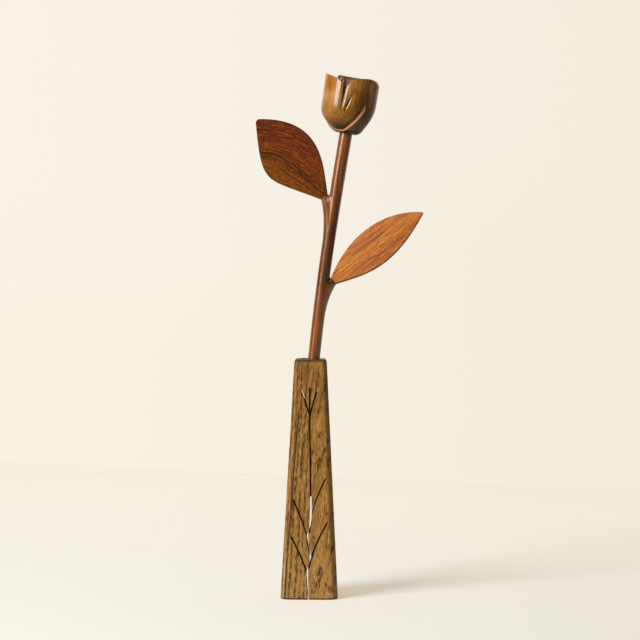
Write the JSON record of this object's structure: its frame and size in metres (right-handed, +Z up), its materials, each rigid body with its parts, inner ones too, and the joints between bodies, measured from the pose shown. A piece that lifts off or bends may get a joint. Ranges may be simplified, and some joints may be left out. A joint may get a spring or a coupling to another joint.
{
  "type": "wooden rose in a vase",
  "caption": "Carved wooden rose with flat leaves, whose curved stem lifts out of a tapered square wooden vase sawn through with a branching line.",
  "frame": {"origin": "middle of the vase's base, on the surface that it stands on", "axes": "+Z up, +X to the right and +Y to the back, seen from the side that the notch in the bud faces"},
  "size_m": [0.1187, 0.04, 0.3666],
  "materials": {
    "vase_wood": "oiled, open straight grain",
    "stem_wood": "satin lacquer",
    "bud_wood": "satin lacquer",
    "dark_leaf_wood": "satin lacquer",
    "light_leaf_wood": "satin lacquer",
    "pin_steel": "plain wire"
  },
  "bodies": {
    "vase": {"vase": "vase_wood"},
    "rose": {"stem": "stem_wood", "rosebud": "bud_wood", "upper_leaf": "dark_leaf_wood", "lower_leaf": "light_leaf_wood", "upper_leaf_pin": "pin_steel", "lower_leaf_pin": "pin_steel"}
  },
  "joints": [
    {"name": "rose_lift", "type": "slide", "parent": "vase", "child": "rose", "axis": [0, 0, 1], "range_m": [0, 0.105]}
  ]
}
